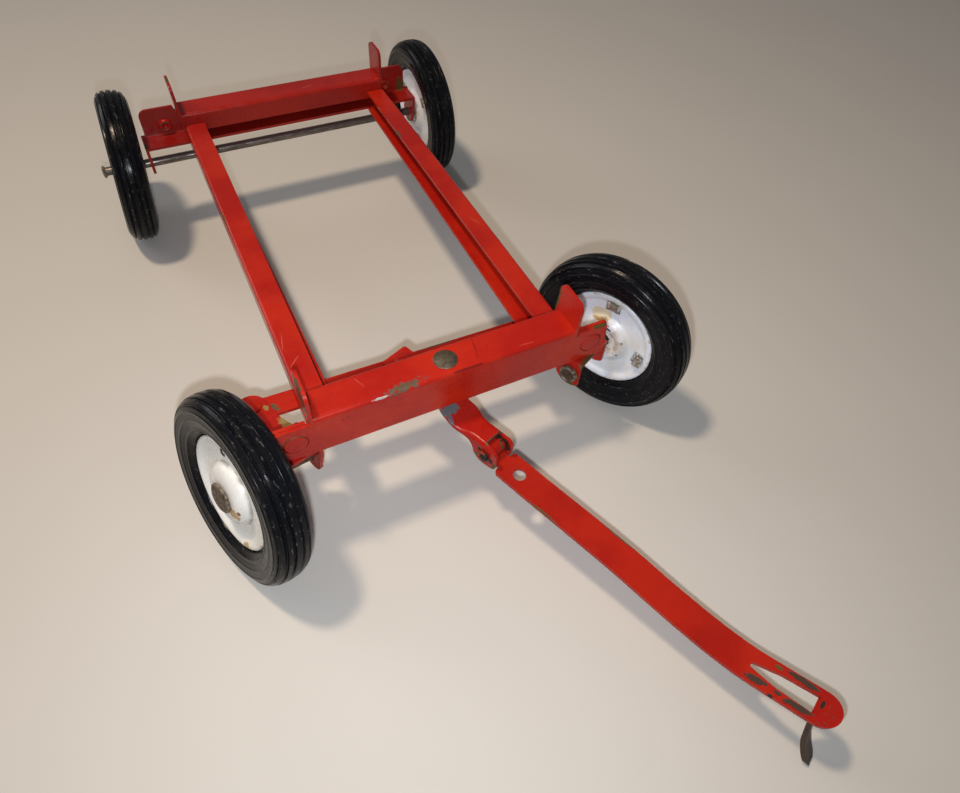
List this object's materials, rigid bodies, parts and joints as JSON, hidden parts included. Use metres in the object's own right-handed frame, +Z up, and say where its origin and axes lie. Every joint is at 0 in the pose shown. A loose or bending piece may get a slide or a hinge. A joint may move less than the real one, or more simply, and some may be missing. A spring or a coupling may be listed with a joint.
{
  "type": "toy wagon running gear",
  "caption": "Pressed-steel toy farm-wagon running gear: ladder frame with stake bolsters, linked steering front wheels, solid rear axle and a pivoting drawbar with a drop hook.",
  "frame": {"origin": "on the floor, under the centre of the model's box", "axes": "+X to the wagon's right, +Y to the rear, +Z up"},
  "size_m": [0.1484, 0.2994, 0.0576],
  "materials": {
    "red_enamel": "glossy enamel, worn at edges",
    "white_enamel": "glossy enamel with rust near the hubs",
    "tyre_rubber": "dusty matt rubber",
    "bare_steel": "dull plated steel",
    "axle_steel": "dirty worn steel"
  },
  "bodies": {
    "chassis": {"front_bolster": "red_enamel", "rear_bolster": "red_enamel", "left_rail": "red_enamel", "right_rail": "red_enamel", "front_bracket": "red_enamel", "rear_bracket": "red_enamel", "centre_rivet": "bare_steel", "centre_washer": "bare_steel", "front_left_tab_rivet": "red_enamel", "front_right_tab_rivet": "red_enamel", "rear_left_tab_rivet": "red_enamel", "rear_right_tab_rivet": "red_enamel", "left_kingpin": "bare_steel", "left_kingpin_washer": "bare_steel", "right_kingpin": "bare_steel", "right_kingpin_washer": "bare_steel"},
    "steering_crank": {"bell_crank": "red_enamel", "drawbar_pin": "red_enamel"},
    "drawbar": {"drawbar": "red_enamel"},
    "tie_rod": {"tie_rod": "red_enamel", "left_tie_rod_rivet": "red_enamel", "centre_tie_rod_rivet": "red_enamel", "right_tie_rod_rivet": "red_enamel"},
    "left_knuckle": {"left_knuckle": "red_enamel", "left_stub_axle": "axle_steel"},
    "right_knuckle": {"right_knuckle": "red_enamel", "right_stub_axle": "axle_steel"},
    "rear_axle": {"rear_axle": "axle_steel"},
    "front_left_wheel": {"front_left_tyre": "tyre_rubber", "front_left_outer_disc": "white_enamel", "front_left_inner_disc": "white_enamel"},
    "front_right_wheel": {"front_right_tyre": "tyre_rubber", "front_right_outer_disc": "white_enamel", "front_right_inner_disc": "white_enamel"},
    "rear_left_wheel": {"rear_left_tyre": "tyre_rubber", "rear_left_outer_disc": "white_enamel", "rear_left_inner_disc": "white_enamel"},
    "rear_right_wheel": {"rear_right_tyre": "tyre_rubber", "rear_right_outer_disc": "white_enamel", "rear_right_inner_disc": "white_enamel"}
  },
  "joints": [
    {"name": "steer", "type": "hinge", "parent": "chassis", "child": "steering_crank", "pos_m": [-0.00064, -0.02988, 0.03251], "axis": [0, 0, 1], "range_deg": [-46, 4]},
    {"name": "left_knuckle_turn", "type": "hinge", "parent": "chassis", "child": "left_knuckle", "pos_m": [-0.04514, -0.02988, 0.03251], "axis": [0, 0, 1], "range_deg": [-46, 4]},
    {"name": "right_knuckle_turn", "type": "hinge", "parent": "chassis", "child": "right_knuckle", "pos_m": [0.04386, -0.02988, 0.03251], "axis": [0, 0, 1], "range_deg": [-46, 4]},
    {"name": "tie_rod_turn", "type": "hinge", "parent": "steering_crank", "child": "tie_rod", "pos_m": [-0.00693, -0.01431, 0.03101], "axis": [0, 0, 1], "range_deg": [-4, 46]},
    {"name": "drawbar_lift", "type": "hinge", "parent": "steering_crank", "child": "drawbar", "pos_m": [0.00626, -0.04694, 0.02371], "axis": [-0.9272, -0.3746, 0], "range_deg": [-45, 100]},
    {"name": "rear_axle_turn", "type": "hinge", "parent": "chassis", "child": "rear_axle", "pos_m": [-0.00064, 0.12272, 0.02704], "axis": [1, 0, 0], "continuous": true},
    {"name": "front_left_wheel_spin", "type": "hinge", "parent": "left_knuckle", "child": "front_left_wheel", "pos_m": [-0.06071, -0.03316, 0.02677], "axis": [0.9312, 0.2851, -0.2271], "continuous": true},
    {"name": "front_right_wheel_spin", "type": "hinge", "parent": "right_knuckle", "child": "front_right_wheel", "pos_m": [0.05923, -0.02501, 0.02705], "axis": [0.9039, 0.425, -0.048], "continuous": true},
    {"name": "rear_left_wheel_spin", "type": "hinge", "parent": "chassis", "child": "rear_left_wheel", "pos_m": [-0.06394, 0.12272, 0.02704], "axis": [0.9934, -0.0129, -0.1142], "continuous": true},
    {"name": "rear_right_wheel_spin", "type": "hinge", "parent": "chassis", "child": "rear_right_wheel", "pos_m": [0.05696, 0.12272, 0.02704], "axis": [0.9997, 0.0209, 0.01], "continuous": true}
  ],
  "couplings": [
    {"joint": "left_knuckle_turn", "follows": "steer", "ratio": 1},
    {"joint": "right_knuckle_turn", "follows": "steer", "ratio": 1},
    {"joint": "tie_rod_turn", "follows": "steer", "ratio": -1}
  ]
}
